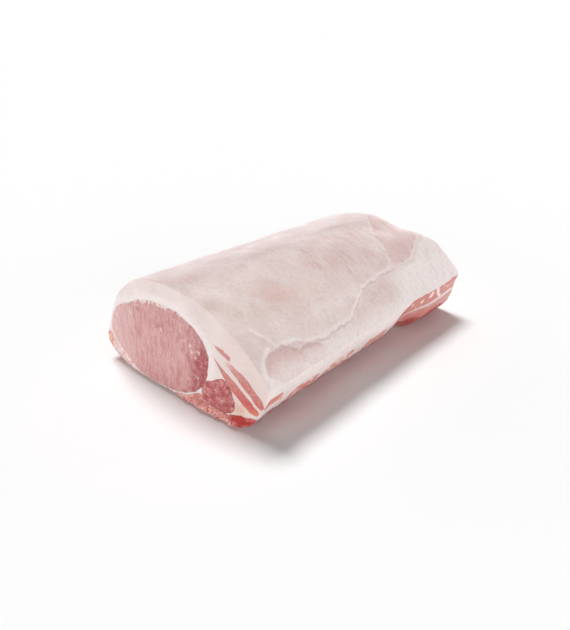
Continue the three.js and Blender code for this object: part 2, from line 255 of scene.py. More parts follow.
def muscle_piece(name, muscle, rings, proud, relief):
    """A muscle as a closed solid: walls along its outline, and at each end rings that
    shrink to its middle on the cut face, proud of it, with a soft edge and the relief."""
    wall = np.linspace(-RIM + 1, RIM - 1, 27)
    x, z = muscle_sections(muscle, muscle["around"], wall)
    walls = stacked(x, wall, z)
    shares = np.concatenate([[1.0, 0.996, 0.99, 0.98], np.linspace(0.967, 0.02, rings)])
    ends = []
    for side in (-1, 1):
        x, z = muscle_sections(muscle, muscle["around"], side * RIM)
        centre_x, centre_z = x.mean(), z.mean()
        inward = (1 - shares)[:, None] * np.hypot(x - centre_x, z - centre_z)
        end_x = centre_x + np.outer(shares, x[0] - centre_x)
        end_z = centre_z + np.outer(shares, z[0] - centre_z)
        soft = np.sqrt(np.clip(1 - (1 - np.clip(inward / 1.6, 0, 1)) ** 2, 0, 1))
        rise = cut_swell(end_x, end_z) + (proud + 0.5) * soft - 0.5
        rise = rise + relief(end_x, end_z) * ease(0, 2.5, inward)
        rise = rise + 0.2 * lumps(end_x, side, end_z, 11, 45) * soft
        ends.append(np.stack([end_x, side * (RIM + rise), end_z], -1))
    return closed_piece(name, np.concatenate([ends[0][::-1], walls, ends[1]]))


def points_of(piece):
    """The piece's vertices in millimetres, as x, y and z."""
    flat = np.zeros(len(piece.data.vertices) * 3, np.float32)
    piece.data.vertices.foreach_get("co", flat)
    return flat.reshape(-1, 3).astype(float).T / MM


def paint(piece, name, values):
    """Stores one number per vertex for the piece's material to read."""
    layer = piece.data.attributes.new(name, "FLOAT", "POINT")
    layer.data.foreach_set("value", np.asarray(values, np.float32))


def edge_gap(muscle, around, side, x, z, raggedness=1.0):
    """Distance from each point to the nearest point of a muscle's edge at one cut,
    worked out in slices."""
    edge_x, edge_z = muscle_sections(muscle, around, side * RIM, raggedness=raggedness)
    nearest = np.empty(len(x))
    for part in np.array_split(np.arange(len(x)), max(1, len(x) // 4000)):
        nearest[part] = np.hypot(x[part, None] - edge_x[0], z[part, None] - edge_z[0]).min(1)
    return nearest


def eye_gap(x, y, z, on_cut):
    """Distance to the eye's edge for the points on a cut, and a long way for the rest."""
    gap = np.full(len(x), FAR_FROM_EDGE)
    for side in (-1, 1):
        here = on_cut & (y * side > 0)
        gap[here] = edge_gap(EYE, EYE["around"], side, x[here], z[here])
    return gap


def linear(code):
    """An sRGB hex colour as linear RGBA."""
    parts = np.array([int(code[i:i + 2], 16) / 255 for i in (1, 3, 5)])
    parts = np.where(parts <= 0.04045, parts / 12.92, ((parts + 0.055) / 1.055) ** 2.4)
    return (*parts.tolist(), 1.0)


def blank(kind, name):
    """A new material or world whose node tree is empty."""
    owner = kind.new(name)
    owner.use_nodes = True
    owner.node_tree.nodes.clear()
    return owner


def add(owner, kind, inputs=None, **settings):
    """Adds a shader node with its settings. Each input gets a value, or a link from a
    socket or from the first output of a node."""
    node = owner.node_tree.nodes.new("ShaderNode" + kind)
    for key, value in settings.items():
        setattr(node, key, value)
    for key, value in (inputs or {}).items():
        source = value.outputs[0] if isinstance(value, bpy.types.Node) else value
        if isinstance(source, bpy.types.NodeSocket):
            owner.node_tree.links.new(source, node.inputs[key])
        else:
            node.inputs[key].default_value = source
    return node


def finish_piece(piece, material, node_name, sharp_degrees=50):
    """Drops the slivers that cuts leave, shades the piece, gives it its material, hangs it
    under the root body, and hides the imported part that it stands in for."""
    piece.data.validate()
    piece.data.polygons.foreach_set("use_smooth", np.ones(len(piece.data.polygons), bool))
    piece.data.set_sharp_from_angle(angle=math.radians(sharp_degrees))
    piece.data.materials.clear()
    piece.data.materials.append(material)
    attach(piece, "root")
    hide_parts(node_name)


eye = muscle_piece("eye_of_loin", EYE, EYE_RINGS, EYE_PROUD, fibre_relief)
eye_bed = muscle_bed("eye_bed", EYE)

x, y, z = points_of(eye)
near = y < 0
mottle = lumps(x, y, z, (5, 40, 7), 46)
top = ease(40, 56, z + 0.15 * x) * ease(26, -8, x)
right = ease(4, 34, x + 0.25 * (34 - z) + 5 * mottle)
low = ease(22, 4, z) * ease(-55, -20, x)
spot = hump(0, 1, np.hypot((x + 17) / 3.4, (z - 50) / 2.6) + 0.5 * lumps(x, 0, z, 1.6, 48))
bits = np.zeros(len(x))
for bit_x, bit_z, size in EYE_BITS:
    reach = np.hypot(x - bit_x, (z - bit_z) * 0.8) / size + 0.9 * lumps(x, y, z, 1.1, 47)
    bits = np.maximum(bits, 0.6 * ease(1.1, 0.3, reach))
paint(eye, "edge", eye_gap(x, y, z, np.abs(y) > RIM - 1.2))
paint(eye, "top", top)
paint(eye, "redness", 1.1 * right + 0.22 * low + 0.14 * top + 0.10 * mottle + 0.06)
paint(eye, "paleness", ease(-38, -70, x + 4 * mottle))
paint(eye, "spot", 0.5 * spot * near)
paint(eye, "bits", bits * near)

# Raw pork muscle, sliced: moist and slightly translucent, so light blurs a little below
# the surface. Paler and darker fibres alternate upright; fat speckles it near its edge,
# where teeth of fat reach in as far as a rough noise says.
lean = blank(bpy.data.materials, "raw_pork_eye_muscle")
place = add(lean, "TexCoord").outputs["Object"]
marks = {key: add(lean, "Attribute", attribute_name=key).outputs["Fac"]
         for key in ("edge", "top", "redness", "paleness", "spot", "bits")}
bend = add(lean, "TexNoise", {"Vector": place, "Scale": 1 / (9 * MM), "Detail": 3.0})
bent = add(lean, "VectorMath", {0: bend.outputs["Color"], 1: (0.5, 0.5, 0.5)}, operation="SUBTRACT")
bent = add(lean, "VectorMath", {0: bent, 1: (10 * MM, 0, 0), 2: place}, operation="MULTIPLY_ADD")
patterns = []
for vector, width, length, detail in (
        (bent, FIBRE_WIDTH, FIBRE_LENGTH, 1.5), (bent, THREAD_WIDTH, THREAD_LENGTH, 1.5),
        (place, 2.0, 4.0, 5.0)):
    stretched = add(lean, "Mapping", {
        "Vector": vector, "Scale": (1 / (width * MM), 1 / (40 * MM), 1 / (length * MM))})
    patterns.append(add(lean, "TexNoise", {"Vector": stretched, "Scale": 1.0, "Detail": detail}))
broad, thread, teeth = patterns
fibre = add(lean, "Math", {0: thread, 1: 0.35}, operation="MULTIPLY")
fibre = add(lean, "Math", {0: broad, 1: 0.65, 2: fibre}, operation="MULTIPLY_ADD")
line = add(lean, "Math", {0: broad, 1: 0.5}, operation="SUBTRACT")
line = add(lean, "Math", {0: line}, operation="ABSOLUTE")
clump = add(lean, "TexNoise", {"Vector": place, "Scale": 1 / (3.2 * MM), "Detail": 3.0})
speck = add(lean, "TexVoronoi", {
    "Vector": place, "Scale": 1 / (SPECK_SPACING * MM), "Randomness": 1.0})
shares = {}
for key, value, start, end, least, most in (
        ("dark", fibre, 0.50, 0.34, 0, 0.8), ("pale", fibre, 0.48, 0.68, 0, 0.7),
        ("line", line, 0.04, 0.0, 0, 0.45), ("red", clump, 0.3, 0.7, 0.35, 1.1),
        ("tooth", teeth, 0.44, 0.72, 0, 4.6), ("top", marks["top"], 0, 1, 0.12, 1.0),
        ("speck", speck, 0.22, 0.08, 0, 0.4), ("wet", clump, 0.3, 0.7, 0.34, 0.52)):
    shares[key] = add(lean, "MapRange", {
        "Value": value, "From Min": start, "From Max": end, "To Min": least, "To Max": most})
red = add(lean, "Math", {0: marks["redness"], 1: shares["red"]}, operation="MULTIPLY", use_clamp=True)
pale_side = add(lean, "Math", {0: marks["paleness"], 1: 0.45}, operation="MULTIPLY")
reach = add(lean, "Math", {0: shares["tooth"], 1: shares["top"]}, operation="MULTIPLY")
inside = add(lean, "Math", {0: marks["edge"], 1: reach}, operation="SUBTRACT")
fringe = add(lean, "MapRange", {"Value": inside, "From Min": 0.5, "From Max": -0.6, "To Max": 0.85})
flecks = add(lean, "Math", {0: shares["speck"], 1: marks["bits"]}, operation="MAXIMUM")
colour = linear(EYE_MID)
for share, code in (
        (shares["dark"], EYE_DARK), (shares["pale"], EYE_PALE), (shares["line"], "#e6c3bf"),
        (red, EYE_RED), (pale_side, "#e8c6c2"), (marks["spot"], "#a8685c"),
        (fringe, "#f0dfdc"), (flecks, "#f2e4e0")):
    colour = add(lean, "MixRGB", {"Fac": share, "Color1": colour, "Color2": linear(code)})
grain = add(lean, "Bump", {"Height": fibre, "Strength": 0.5, "Distance": 0.4 * MM})
shader = add(lean, "BsdfPrincipled", {
    "Base Color": colour, "Roughness": shares["wet"], "Normal": grain, "IOR": 1.38,
    "Subsurface Weight": 0.2, "Subsurface Radius": (1.0, 0.4, 0.3), "Subsurface Scale": 1.2 * MM})
add(lean, "OutputMaterial", {"Surface": shader})
finish_piece(eye, lean, "eye_muscle")

# ---------------------------------------------------------------------------------------
# The dark muscle beside the eye: small, coarse and redder, marbled with a web of fine
# connective tissue. Below it the underside's lean begins.
# ---------------------------------------------------------------------------------------

DARK = dict(
    outline=[
        (30.4, 24.8), (38, 29.3), (45.6, 32.6), (50.8, 31), (55, 24.2), (56.8, 17.8),
        (54.4, 10.6), (47.5, 8.6), (37, 8.4), (28, 10.5), (26.4, 18),
    ],
    middle=(41, 19), far_scale=1.08, ragged=0.9, around=190)
DARK_RINGS, DARK_PROUD = 40, 0.25
WEB_SPACING = 2.5


def bundles(x, z):
    """Coarse muscle bundles: round lumps of two sizes."""
    return 0.28 * lumps(x, 0, z, 3.0, 51) + 0.16 * lumps(x, 0, z, 1.4, 52)


dark = muscle_piece("dark_muscle", DARK, DARK_RINGS, DARK_PROUD, bundles)
dark_bed = muscle_bed("dark_bed", DARK)

x, y, z = points_of(dark)
paint(dark, "redness", ease(18, 6, z) * 0.4 + 0.5 * hump(0, 8, np.hypot(x - 46, z - 22))
      + 0.2 * lumps(x, y, z, 5, 53))

# Raw dark pork muscle: deep pink bundles a few millimetres wide, with a paler web
# between them and small wet highlights on their rounded ends.
dark_lean = blank(bpy.data.materials, "raw_pork_dark_muscle")
place = add(dark_lean, "TexCoord").outputs["Object"]
redness = add(dark_lean, "Attribute", attribute_name="redness").outputs["Fac"]
bend = add(dark_lean, "TexNoise", {"Vector": place, "Scale": 1 / (3 * MM), "Detail": 3.0})
bent = add(dark_lean, "VectorMath", {
    0: bend.outputs["Color"], 1: (3.5 * MM, MM, 3.5 * MM), 2: place}, operation="MULTIPLY_ADD")
web = add(dark_lean, "TexNoise", {
    "Vector": bent, "Scale": 1 / (WEB_SPACING * MM), "Detail": 4.0, "Distortion": 0.8})
web = add(dark_lean, "Math", {0: web, 1: 0.5}, operation="SUBTRACT")
web = add(dark_lean, "Math", {0: web}, operation="ABSOLUTE")
blotch = add(dark_lean, "TexNoise", {"Vector": place, "Scale": 1 / (6 * MM), "Detail": 3.0})
web_share = add(dark_lean, "MapRange", {
    "Value": web, "From Min": 0.06, "From Max": 0.01, "To Max": 0.95})
uneven = add(dark_lean, "MapRange", {
    "Value": blotch, "From Min": 0.42, "From Max": 0.60, "To Min": 0.15})
web_share = add(dark_lean, "Math", {0: web_share, 1: uneven}, operation="MULTIPLY")
blotch_share = add(dark_lean, "MapRange", {"Value": blotch, "From Min": 0.35, "From Max": 0.65})
colour = linear("#9f373b")
for share, code in ((blotch_share, "#cd7b77"), (redness, "#a83c3e"), (web_share, "#e9b9b2")):
    colour = add(dark_lean, "MixRGB", {"Fac": share, "Color1": colour, "Color2": linear(code)})
grain = add(dark_lean, "Bump", {"Height": web_share, "Strength": 0.6, "Distance": 0.5 * MM})
shader = add(dark_lean, "BsdfPrincipled", {
    "Base Color": colour, "Roughness": 0.3, "Normal": grain, "IOR": 1.38,
    "Subsurface Weight": 0.15, "Subsurface Radius": (1.0, 0.35, 0.25), "Subsurface Scale": 1 * MM})
add(dark_lean, "OutputMaterial", {"Surface": shader})
finish_piece(dark, dark_lean, "side_muscle")

# ---------------------------------------------------------------------------------------
# Streaks of belly lean: two flat bands and a thin wisp between layers of fat. They run
# from cut to cut, and the two bands come out in places through the flank where the belly
# was cut away. Here the loin's whole skin is needed, to end them flush with it.
# ---------------------------------------------------------------------------------------

# Outline of the loin at the near cut, clockwise from the heel on the backbone side.
LOIN_OUTLINE = [
    (-69, 3), (-84.6, 15), (-79.3, 31), (-71.6, 49), (-58, 65.5), (-37, 78.5),
    (-10, HEIGHT), (16, 80), (40, 73), (60, 62.5), (75, 51), (HALF_WIDTH - 1, 41),
    (HALF_WIDTH - 1, 34), (78, 18.5), (67, 4), (52, -1), (12, -1), (-28, -1),
]
CROWN_POINT = 6                          # arc length across the back counts from here
# Mesh points between one point of the outline and the next, relative to each other.
POINT_SHARES = (1.1, 1.1, 1.3, 1.5, 1.6, 1.8, 1.9, 1.9, 1.9, 1.9, 1.8, 1.2, 1.9, 1.9, 1.3, 1.5,
                1.5, 1.3)
AROUND, STATIONS = 360, 182              # 1.2 mm apart round the fat, 1.35 mm along it
EDGE_ROUND = 1.1                         # the edge of a cut is this soft

# Marks of the trimming knife on the fat, as [place along Y, arc length from the crown].
STEP_PATH = [
    (-114, 66), (-108, 71), (-105, 76), (-103, 79), (-102, 85), (-94, 87), (-70, 94),
    (-56, 96), (-30, 95.5), (-21, 91), (-9, 86), (3, 79), (30, 76), (66, 77), (78, 75),
    (88, 70), (104, 62), (114, 57),
]
PEEL_PATH = [(48, 75), (54, 64), (63, 53), (67, 43), (88, 23), (104, 8)]
FOLD_PATH = [(-109, 69), (-106, 75), (-102.5, 79), (-102, 85)]
RIDGE_PATH = [(-107, 85), (-113, 88), (-118, 93), (-120, 99), (-119.5, 105)]
CREASE_PATH = [(103, 74), (95, 82), (92, 95), (88, 101)]
SCOOPS = {                               # along, arc, half length, half width, depth
    "near": (-101, 98, 18, 11.5, 1.3),
    "next": (-76, 101, 13, 8, 0.7),
    "faint": (22, 92, 22, 9, 0.4),
}
TRIM_STEP, FAR_PEEL = 1.1, 0.4

# Grooves across the underside, where the ribs were taken out.
RIB_PITCH, RIB_FIRST, RIB_SLANT, RIB_HALF_WIDTH = 41.0, -114.0, 0.06, 12.0
RIB_DEPTH_THIN, RIB_DEPTH_THICK = 0.9, 3.2

# A streak's middle line at the near cut runs from inner to outer, and to leave where it
# comes out through the flank. Its exits are [from, to, run in] along Y.
STREAKS = {
    "outer": dict(inner=(49.6, 46), outer=(79, 23.4), leave=(93, 17.5), bow=3.0, blunt=0.55,
                  near_half=3.8, far_half=6.6, far_lift=7.5, mid_lift=0, swell=0, steps=150,
                  seed=61, exits=[(-121, -107, 3), (32, 140, 8)]),
    "inner": dict(inner=(37.5, 47.5), outer=(75.6, 17.6), leave=(91, 7), bow=-1.4, blunt=0.12,
                  near_half=3.9, far_half=5.6, far_lift=2.8, mid_lift=5.5, swell=0.75, steps=150,
                  seed=71, exits=[(-94, -65, 5), (-58, -25, 5), (-8, 18, 5), (30, 140, 8)]),
    "wisp": dict(inner=(36.8, 56.2), outer=(53.4, 49.1), leave=(53.4, 49.1), bow=0.2, blunt=0.1,
                 near_half=1.9, far_half=1.3, far_lift=0, mid_lift=0, swell=0, steps=60,
                 seed=81, exits=[]),
}


def along(path, y):
    """Straight lines through [place, value] pairs."""
    places, values = np.array(path, float).T
    return np.interp(y, places, values)


def from_path(arc, y, path):
    """Distance from each point to the nearest of the path's straight stretches."""
    nearest = np.full(np.broadcast(arc, y).shape, 1e9)
    for (y0, a0), (y1, a1) in zip(path, path[1:]):
        size = (y1 - y0) ** 2 + (a1 - a0) ** 2
        share = np.clip(((y - y0) * (y1 - y0) + (arc - a0) * (a1 - a0)) / size, 0, 1)
        gap = np.hypot(y - y0 - share * (y1 - y0), arc - a0 - share * (a1 - a0))
        nearest = np.minimum(nearest, gap)
    return nearest


def beyond_step(arc, y):
    """How far a point lies past the ragged edge of the trimming step, towards the belly."""
    ragged = 1.3 * lumps(arc, y, 0, (9, 7, 1), 3) + 1.0 * lumps(arc, y, 0, (4.5, 4, 1), 4)
    return arc - along(STEP_PATH, y) + ragged


def scoop_reach(arc, y, scoop):
    """0 in the middle of a scoop and 1 at its wavering rim."""
    place, middle, half_length, half_width = scoop[:4]
    reach = np.hypot((y - place) / half_length, (arc - middle) / half_width)
    return reach + 0.09 * lumps(arc, y, 0, (5, 5, 1), 6)


def far_patch(arc, y):
    """Share of the shaved patch near the far cut: past the peel's edge, before the step."""
    peel = arc - along(PEEL_PATH, y) + 1.6 * lumps(arc, y, 0, (5, 4, 1), 5)
    inside = ease(44, 54, y) * ease(0, 10, arc)
    return inside * ease(-0.8, 1.4, peel) * ease(0.8, -1.4, beyond_step(arc, y)), peel


def trimming(arc, y):
    """Height of the fat above its even surface: the step as a soft edged drop below a
    thin lip, the shaved patch, scoops as shallow dishes, folds as ridges, uneven fat."""
    past = beyond_step(arc, y)
    fade = ease(-108, -97, y) * (1 - 0.55 * ease(66, 112, y))
    height = -TRIM_STEP * fade * (1 - 0.5 * ease(30, 60, y)) * ease(-0.5, 1.0, past)
    height *= 1 - 0.55 * ease(96, 114, arc)
    height += 0.15 * fade * ease(-4, -0.5, past) * ease(0.6, -0.5, past)
    height += 0.4 * ease(52, 64, y) * hump(-0.6, 1.0, past)
    patch, peel = far_patch(arc, y)
    height -= FAR_PEEL * patch
    height += 0.12 * hump(-1.0, 1.2, peel) * ease(44, 54, y) * ease(0, 10, arc) * ease(2, -2, past)
    for scoop in SCOOPS.values():
        reach = scoop_reach(arc, y, scoop)
        height -= scoop[4] * (0.6 * ease(1.06, 0.92, reach) + 0.4 * ease(1.0, 0.0, reach))
        height += 0.25 * ease(1.0, 0.6, reach) * lumps(arc, y, 0, (5, 4, 1), 15)
    for path, rise, half_width in ((FOLD_PATH, 0.9, 1.2), (RIDGE_PATH, 0.5, 1.8),
                                   (CREASE_PATH, -0.4, 1.1)):
        height += rise * hump(0, half_width, from_path(arc, y, path))
    height += 0.6 * np.sin(y / 13 + 1) * np.sin(arc / 17 + 0.5) - 0.2
    scraped = ease(-110, -30, y) * ease(90, 60, arc)
    height += 0.09 * scraped * lumps(arc, y + 0.2 * arc, 0, (30, 2.4, 1), 7)
    fibrous = ease(0, 3, past) * ease(112, 100, arc)
    height += 0.12 * fibrous * lumps(arc + 0.5 * y, y, 0, (7, 1.9, 1), 10)
    return height + 0.3 * lumps(arc, y, 0, (21, 15, 1), 8) + 0.08 * lumps(arc, y, 0, 4, 9)


def from_rib(x, y):
    """Distance along the loin to the middle of the nearest rib groove."""
    since = y - RIB_FIRST - RIB_SLANT * x
    return np.abs(since - RIB_PITCH * np.round(since / RIB_PITCH))


def rib_groove(x, y):
    """Depth of the rib grooves: an eased hollow at each multiple of the rib pitch,
    deeper below the side muscles than below the eye."""
    thick = ease(6, 26, x) + ease(-52, -72, x) * 0.5
    depth = RIB_DEPTH_THIN + (RIB_DEPTH_THICK - RIB_DEPTH_THIN) * thick
    return depth * ease(RIB_HALF_WIDTH, 0, from_rib(x, y))


def loin_sections(turns, y):
    """The loin's outline at every y: the spline, settled, lifted along its normal by the
    knife marks on the fat, and kept above the surface and out of the rib grooves.
    Gives x, z and the arc length from the crown, each as rows along y."""
    outline = smooth_loop(LOIN_OUTLINE, turns)
    y = np.atleast_1d(y)[:, None]
    x, z = settle(outline[:, 0], y, outline[:, 1])
    step = np.hypot(np.diff(x, axis=1), np.diff(z, axis=1))
    arc = np.concatenate([np.zeros((len(y), 1)), np.cumsum(step, axis=1)], axis=1)
    crown = np.searchsorted(turns, CROWN_POINT / len(LOIN_OUTLINE))
    arc = arc - arc[:, crown:crown + 1]
    out_x, out_z = outward(x, z)
    cover = ease(14, 30, z) * ease(-150, -110, arc)
    backbone = (0.35 * lumps(x, y, z, (24, 19, 24), 11) + 0.1 * lumps(x, y, z, 5, 12)
                + 0.25 * lumps(arc, y, 0, (14, 10, 1), 16)
                + 0.09 * lumps(arc, y - 0.3 * arc, 0, (30, 2.4, 1), 17))
    lift = cover * (trimming(arc, y) * ease(2, 12, arc) + backbone * ease(12, 2, arc))
    lower = ease(22, 8, z) * ease(50, 60, np.abs(x))
    bumpy = 0.7 * lumps(x, y, z, (9, 6, 9), 13) + 0.4 * lumps(x, y, z, (4, 2.8, 4), 14)
    lift = lift + lower * bumpy
    x, z = x + out_x * lift, z + out_z * lift
    return x, np.maximum(z, rib_groove(x, y)), arc


def spread_turns():
    """Shares of a turn, closer together over the back and flank than over the underside."""
    ends = np.concatenate([[0], np.cumsum(POINT_SHARES) / np.sum(POINT_SHARES)])
    return np.interp(np.arange(AROUND) / AROUND, ends, np.linspace(0, 1, len(ends)))


def whole_loin(name, face_rings):
    """The loin as one closed solid. Its skin is the section at each y; the edge of each
    cut is a quarter circle; each cut face is rings that shrink to its middle and swell."""
    quarter = np.radians(np.linspace(0, 80, 5))
    round_y = RIM - EDGE_ROUND * (1 - np.sin(quarter))
    inset = np.zeros(STATIONS + 8)
    inset[:4] = (EDGE_ROUND * (1 - np.cos(quarter)))[:0:-1]
    inset[-4:] = (EDGE_ROUND * (1 - np.cos(quarter)))[1:]
    wall = np.linspace(-RIM + EDGE_ROUND, RIM - EDGE_ROUND, STATIONS)
    y = np.concatenate([-round_y[:0:-1], wall, round_y[1:]])
    x, z, _ = loin_sections(spread_turns(), y)
    out_x, out_z = outward(x, z)
    rings = stacked(x - out_x * inset[:, None], y, z - out_z * inset[:, None])
    shares = np.linspace(1, 0.03, face_rings)[1:, None]
    middle_x, middle_z = 0, HEIGHT * 0.32
    ends = []
    for ring, side in ((rings[0], -1), (rings[-1], 1)):
        end_x = middle_x + shares * (ring[:, 0] - middle_x)
        end_z = middle_z + shares * (ring[:, 2] - middle_z)
        rise = cut_swell(end_x, end_z) * ease(1.0, 0.94, shares)
        rise = rise + 0.12 * lumps(end_x, side, end_z, 7, 20) + 0.05 * lumps(end_x, side, end_z, 2, 21)
        ends.append(np.stack([end_x, side * (RIM + rise), end_z], -1))
    return closed_piece(name, np.concatenate([ends[0][::-1], rings, ends[1]]))


def streak_piece(name, spread, inner, outer, leave, bow, blunt, near_half, far_half, far_lift,
                 mid_lift, swell, steps, seed, exits):
    """A streak that runs past the cuts: at each y a band about a bowed middle line, thin
    at its inner end and round at its outer one, which swells and is pushed out through
    the flank between the exits' places."""
    y = np.linspace(-LENGTH / 2 - 2, LENGTH / 2 + 2, steps)[:, None]
    q = np.linspace(0, 1, 20)
    out = np.zeros_like(y)
    for start, end, run in exits:
        inside = ease(start - run / 2, start + run / 2, y) * ease(end + run / 2, end - run / 2, y)
        out = np.maximum(out, inside)
    out = np.clip(out * (1 + 0.15 * lumps(y, 0, 0, 7, seed) * ease(50, 25, y)), 0, 1.1)
    far = ease(16, 52, y)
    end_x = outer[0] + (leave[0] - outer[0]) * out
    end_z = outer[1] + (leave[1] - outer[1]) * out + far_lift * far + mid_lift * out * (1 - far)
    run_x, run_z = end_x - inner[0], end_z - inner[1]
    size = np.hypot(run_x, run_z)
    across_x, across_z = -run_z / size, run_x / size
    half = near_half + (far_half - near_half) * far * ease(0.3, 0.8, q)
    half = half * (1 + (swell + 0.3 * lumps(y, 0, 3, 6, seed)) * out * (1 - far) * ease(0.4, 0.9, q))
    body = blunt + (1 - blunt) * ease(0, 0.55, q)
    tip = np.sqrt(np.clip(1 - 0.92 * (np.clip(q - 0.8, 0, 1) / 0.22) ** 2, 0, 1))
    sides = []
    for side in (1, -1):
        rough = 0.5 * lumps(q * size, y, side, (4, 5, 1), seed + 1)
        rough = rough + 0.45 * lumps(q * size, y, side, (2.1, 2.6, 1), seed + 2)
        reach = bow * 4 * q * (1 - q) + side * (half * body * tip - 0.15 + spread + rough * body)
        sides.append((inner[0] + run_x * q + across_x * reach,
                      inner[1] + run_z * q + across_z * reach))
    x = np.concatenate([sides[0][0], sides[1][0][:, ::-1]], 1)
    z = np.concatenate([sides[0][1], sides[1][1][:, ::-1]], 1)
    x, z = settle(x, y, z)
    return closed_piece(name, stacked(x, y[:, 0], z))


def knife(piece, operation, others):
    """Cuts the piece by the others, one closed solid at a time, and keeps the result."""
    for other in others:
        cut = piece.modifiers.new("cut", "BOOLEAN")
        cut.operation, cut.solver, cut.object = operation, "MANIFOLD", other
        graph = bpy.context.evaluated_depsgraph_get()
        made = bpy.data.meshes.new_from_object(piece.evaluated_get(graph))
        piece.modifiers.clear()
        before = piece.data
        piece.data = made
        bpy.data.meshes.remove(before)


skin = whole_loin("skin", 24)
streak_beds = [streak_piece(key + "_bed", BED_GAP, **spec) for key, spec in STREAKS.items()]
streak_pieces = {}
for key, spec in STREAKS.items():
    streak_pieces[key] = streak_piece(key + "_belly_streak", 0, **spec)
    knife(streak_pieces[key], "INTERSECT", [skin])

# Fat across the outer streak near the far cut, and the bits of fat set in it, as places
# along Y and up, and half sizes.
SEAM_AT, SEAM_LEAN, SEAM_HALF = 84.0, 0.85, 2.3
FAT_BITS = [(77, 34, 3.6, 3.2), (64, 31.5, 2.4, 2.0), (47, 35, 1.0, 1.6), (108, 31, 1.4, 1.2),
            (57, 28, 0.9, 0.9), (99, 35, 1.1, 0.8)]
# On the near cut each streak fades into the fat at its inner end. On the flank they are more orange,
# and on both flanks they are mixed towards the fat's colour as painted light, to lighten them where
# they lie in shade.
# At the far flank the lower one is deeper red low down, and the upper one is darker red along its top
# edge below the fat's brim, as painted shade.
for key, piece in streak_pieces.items():
    x, y, z = points_of(piece)
    is_outer, is_inner = key == "outer", key == "inner"
    on_near = ease(-118, -123, y)
    near_flank = ease(-122, -119, y) * ease(27, 18, y)
    far_flank = ease(30, 50, y)
    tip_x, tip_z = STREAKS[key]["inner"]
    thin_end = ease(7, 1, np.hypot(x - tip_x, z - tip_z) + 1.5 * lumps(x, y, z, 2.5, 66))
    # Painted light: on both flanks the streaks are mixed towards the fat's colour to lighten them where
    # they face away from the light. The seam and bits below are real fat.
    fat_and_painted_light = 0.15 * near_flank + (0.22 if is_inner else 0.13) * far_flank
    fat_and_painted_light = fat_and_painted_light + on_near * (0.07 + 0.10 * ease(32, 46, z) + 0.5 * thin_end)
    if is_outer:
        offset = y - SEAM_AT - (38 - z) * SEAM_LEAN + 1.2 * lumps(x, y, z, 3, 63)
        fat_and_painted_light = np.maximum(fat_and_painted_light, ease(SEAM_HALF + 0.6, SEAM_HALF - 0.6, np.abs(offset)))
        for bit_y, bit_z, half_y, half_z in FAT_BITS:
            reach = np.hypot((y - bit_y) / half_y, (z - bit_z) / half_z)
            fat_and_painted_light = np.maximum(fat_and_painted_light, ease(1.2, 0.8, reach + 0.2 * lumps(x, y, z, 2, 64)))
    lower_end = hump(23, 7, z) * on_near * (1.0 if is_inner else 0.3)
    deep = ease(36, 56, y) * ease(110, 80, y) * ease(26, 14, z) * is_inner
    # Painted shade: the upper streak is darker red along its top edge on the far flank, where the fat
    # overhangs it.
    brim_shade = 0.6 * ease(24, 34, y) * hump(38, 2.2, z) * is_outer
    paint(piece, "fat_and_painted_light", fat_and_painted_light * (y < 121))
    paint(piece, "broken", near_flank * ease(-118, -110, y))
    paint(piece, "redness", 0.75 * lower_end + 0.75 * deep + brim_shade + 0.35 * near_flank
          + (0.3 + 0.25 * far_flank) * lumps(x, y, z, (4, 9, 4), 65))
    paint(piece, "orange", ease(24, 14, z) * on_near * (0.5 if is_outer else 1.3)
          + 0.9 * near_flank + 0.25 * ease(24, 34, y))

# Raw belly lean: salmon pink, finely grained along the loin, with pale flecks of fat. Its mix towards
# the fat's colour is real fat in seams and bits, and painted light on the flanks.
streak_lean = blank(bpy.data.materials, "raw_pork_belly_lean")
place = add(streak_lean, "TexCoord").outputs["Object"]
marks = {key: add(streak_lean, "Attribute", attribute_name=key).outputs["Fac"]
         for key in ("redness", "orange", "broken", "fat_and_painted_light")}
stretched = add(streak_lean, "Mapping", {
    "Vector": place, "Scale": (1 / (1.3 * MM), 1 / (7 * MM), 1 / (1.3 * MM))})
thread = add(streak_lean, "TexNoise", {"Vector": stretched, "Scale": 1.0, "Detail": 2.5})
blotch = add(streak_lean, "TexNoise", {"Vector": place, "Scale": 1 / (5 * MM), "Detail": 3.0})
fleck = add(streak_lean, "TexVoronoi", {"Vector": place, "Scale": 1 / (2.2 * MM)})
shares = {}
for key, value, start, end, most in (
        ("thread", thread, 0.36, 0.64, 1), ("fleck", fleck, 0.26, 0.12, 0.25),
        ("scrap", blotch, 0.51, 0.57, 1)):
    shares[key] = add(streak_lean, "MapRange", {
        "Value": value, "From Min": start, "From Max": end, "To Max": most})
orange = add(streak_lean, "Math", {0: marks["orange"], 1: blotch}, operation="MULTIPLY")
scraps = add(streak_lean, "Math", {0: shares["scrap"], 1: marks["broken"]}, operation="MULTIPLY")
colour = linear("#b85c55")
for share, code in (
        (shares["thread"], "#cf857b"), (marks["redness"], "#c4352b"), (orange, "#e2805e"),
        (shares["fleck"], "#e8bfb6"), (scraps, "#e9d3cc"), (marks["fat_and_painted_light"], "#f1e1dc")):
    colour = add(streak_lean, "MixRGB", {"Fac": share, "Color1": colour, "Color2": linear(code)})
grain = add(streak_lean, "Bump", {"Height": thread, "Strength": 0.5, "Distance": 0.5 * MM})
shader = add(streak_lean, "BsdfPrincipled", {
    "Base Color": colour, "Roughness": 0.4, "Normal": grain, "IOR": 1.38,
    "Subsurface Weight": 0.15, "Subsurface Radius": (1.0, 0.35, 0.25), "Subsurface Scale": 1 * MM})
add(streak_lean, "OutputMaterial", {"Surface": shader})
finish_piece(streak_pieces["outer"], streak_lean, "outer_streak")
finish_piece(streak_pieces["inner"], streak_lean, "inner_streak")
finish_piece(streak_pieces["wisp"], streak_lean, "streak_wisp")

